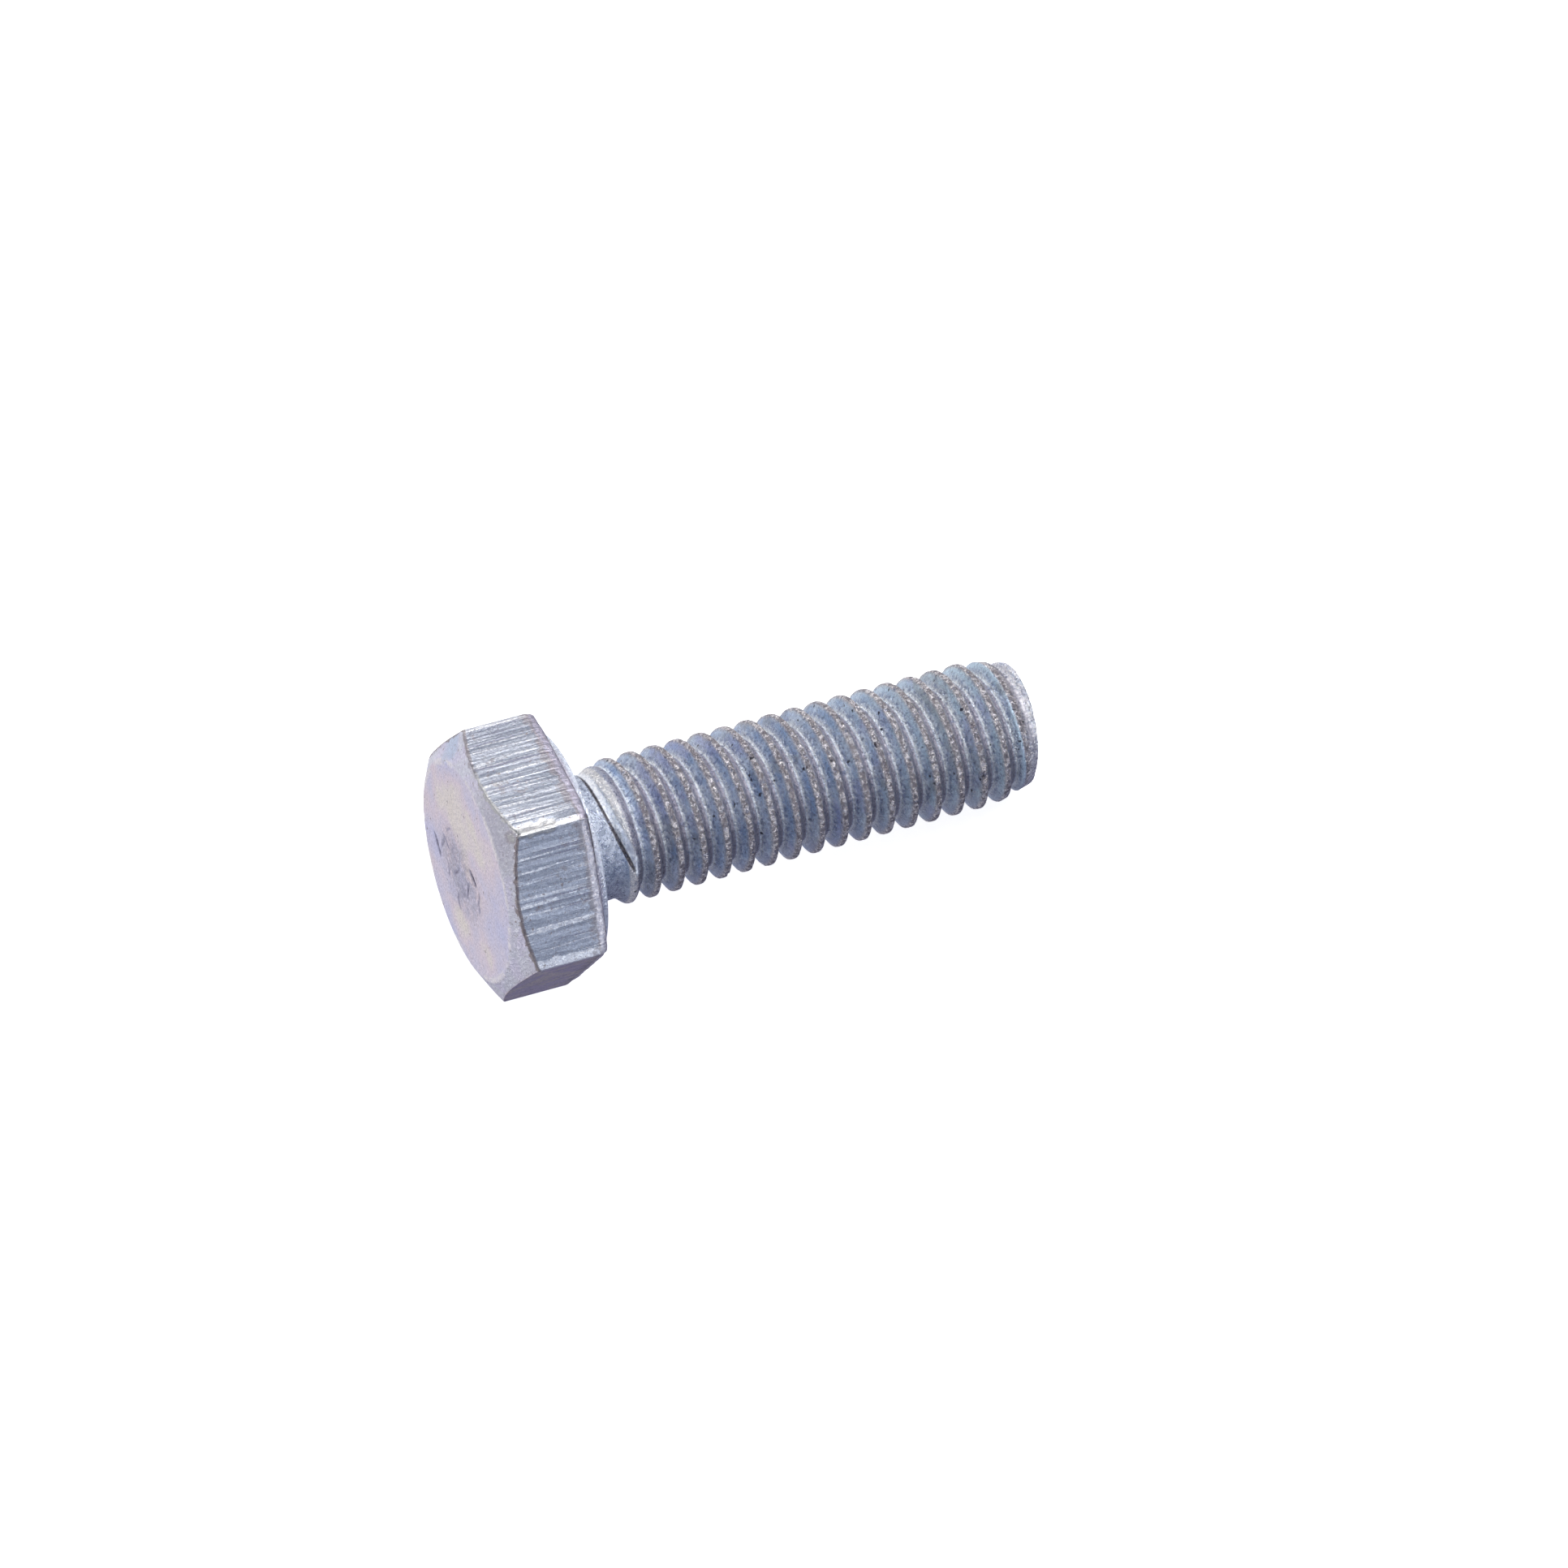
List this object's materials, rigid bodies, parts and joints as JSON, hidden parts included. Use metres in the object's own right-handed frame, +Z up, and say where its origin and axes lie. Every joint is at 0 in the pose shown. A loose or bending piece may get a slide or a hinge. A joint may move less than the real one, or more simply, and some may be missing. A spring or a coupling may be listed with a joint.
{
  "type": "hex bolt",
  "caption": "Fully threaded hex bolt: chamfered hexagon head with a washer face, short plain neck, coarse right-hand thread and a tapered point.",
  "frame": {"origin": "centre of the bearing face, the round washer face under the head", "axes": "+X along the bolt's axis from the head to the point; +Z up, with one hexagon flat facing straight down; +Y completes the right-handed frame"},
  "size_m": [0.0237, 0.0116, 0.01],
  "materials": {
    "zinc_plating": "bright bluish zinc plating on cold-forged steel, faintly iridescent on the head, dull and pitted on the crests"
  },
  "bodies": {
    "root": {"hex_head": "zinc_plating", "plain_neck": "zinc_plating", "threaded_shank": "zinc_plating"}
  },
  "joints": []
}
